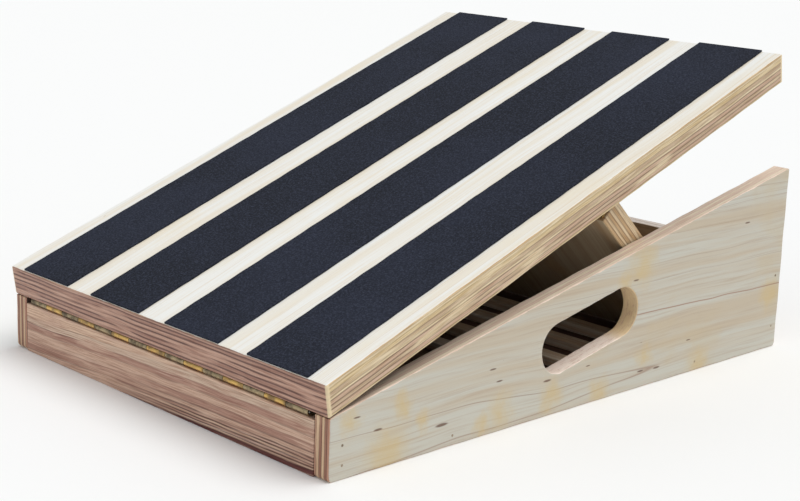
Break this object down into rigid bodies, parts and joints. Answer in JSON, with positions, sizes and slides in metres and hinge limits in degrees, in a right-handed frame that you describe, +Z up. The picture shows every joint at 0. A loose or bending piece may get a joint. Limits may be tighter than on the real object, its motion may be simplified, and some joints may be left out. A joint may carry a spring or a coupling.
{
  "type": "slant board",
  "caption": "Adjustable wooden slant board: a shallow plywood base with hand holes, a hinged standing platform with dark grip strips, and a folding prop panel that sets the angle.",
  "frame": {"origin": "the middle of the base's underside, on the ground", "axes": "+X to the right side panel, +Y from the low hinged front to the high back, +Z up"},
  "size_m": [0.305, 0.4031, 0.2],
  "materials": {
    "side_plywood": "pale veneer, sanded and sealed, fine grain along the board",
    "base_plywood": "pinkish brown plywood edge and face, sanded",
    "cleat_wood": "planed softwood strip",
    "platform_plywood": "very pale face veneer, laminated edges",
    "prop_plywood": "plywood with tan laminated edges",
    "grip_tape": "dark blue-black mineral grit on a self-adhesive strip",
    "hinge_brass": "rolled sheet brass, dulled",
    "hinge_pin_steel": "drawn steel wire",
    "screw_steel": "yellow passivated pan-head screws",
    "brad_steel": "small nail heads set flush"
  },
  "bodies": {
    "base": {"floor_panel": "base_plywood", "front_rail": "base_plywood", "back_rail": "base_plywood", "side_panel_left": "side_plywood", "side_panel_right": "side_plywood", "cleat_1": "cleat_wood", "cleat_2": "cleat_wood", "cleat_3": "cleat_wood", "cleat_4": "cleat_wood", "cleat_5": "cleat_wood", "main_hinge_base_leaf": "hinge_brass", "main_hinge_base_screw_1": "screw_steel", "main_hinge_base_screw_2": "screw_steel", "main_hinge_base_screw_3": "screw_steel", "main_hinge_base_screw_4": "screw_steel", "main_hinge_base_screw_5": "screw_steel", "main_hinge_base_screw_6": "screw_steel", "side_brad_left_1": "brad_steel", "side_brad_left_2": "brad_steel", "side_brad_left_3": "brad_steel", "side_brad_left_4": "brad_steel", "side_brad_left_5": "brad_steel", "side_brad_left_6": "brad_steel", "side_brad_right_1": "brad_steel", "side_brad_right_2": "brad_steel", "side_brad_right_3": "brad_steel", "side_brad_right_4": "brad_steel", "side_brad_right_5": "brad_steel", "side_brad_right_6": "brad_steel"},
    "hinge_pin": {"main_hinge_pin": "hinge_pin_steel"},
    "platform": {"platform_board": "platform_plywood", "grip_strip_1": "grip_tape", "grip_strip_2": "grip_tape", "grip_strip_3": "grip_tape", "grip_strip_4": "grip_tape", "main_hinge_platform_leaf": "hinge_brass", "main_hinge_platform_screw_1": "screw_steel", "main_hinge_platform_screw_2": "screw_steel", "main_hinge_platform_screw_3": "screw_steel", "main_hinge_platform_screw_4": "screw_steel", "main_hinge_platform_screw_5": "screw_steel", "main_hinge_platform_screw_6": "screw_steel", "prop_hinge_platform_leaf": "hinge_brass", "prop_hinge_platform_screw_1": "screw_steel", "prop_hinge_platform_screw_2": "screw_steel", "prop_hinge_platform_screw_3": "screw_steel", "prop_hinge_platform_screw_4": "screw_steel", "prop_hinge_platform_screw_5": "screw_steel", "prop_hinge_platform_screw_6": "screw_steel", "prop_hinge_pin": "hinge_pin_steel"},
    "prop": {"prop_panel": "prop_plywood", "prop_hinge_prop_leaf": "hinge_brass", "prop_hinge_prop_screw_1": "screw_steel", "prop_hinge_prop_screw_2": "screw_steel", "prop_hinge_prop_screw_3": "screw_steel", "prop_hinge_prop_screw_4": "screw_steel", "prop_hinge_prop_screw_5": "screw_steel", "prop_hinge_prop_screw_6": "screw_steel"}
  },
  "joints": [
    {"name": "platform_fold", "type": "hinge", "parent": "base", "child": "hinge_pin", "pos_m": [0, -0.1979, 0.03371], "axis": [1, 0, 0], "range_deg": [-8.5, 0]},
    {"name": "platform_lift", "type": "hinge", "parent": "hinge_pin", "child": "platform", "pos_m": [0, -0.1979, 0.03371], "axis": [1, 0, 0], "range_deg": [0, 65]},
    {"name": "prop_fold", "type": "hinge", "parent": "platform", "child": "prop", "pos_m": [0, 0.03476, 0.12102], "axis": [1, 0, 0], "range_deg": [0, 65.1]}
  ],
  "couplings": [
    {"joint": "prop_fold", "follows": "platform_fold", "ratio": -7.6471}
  ]
}
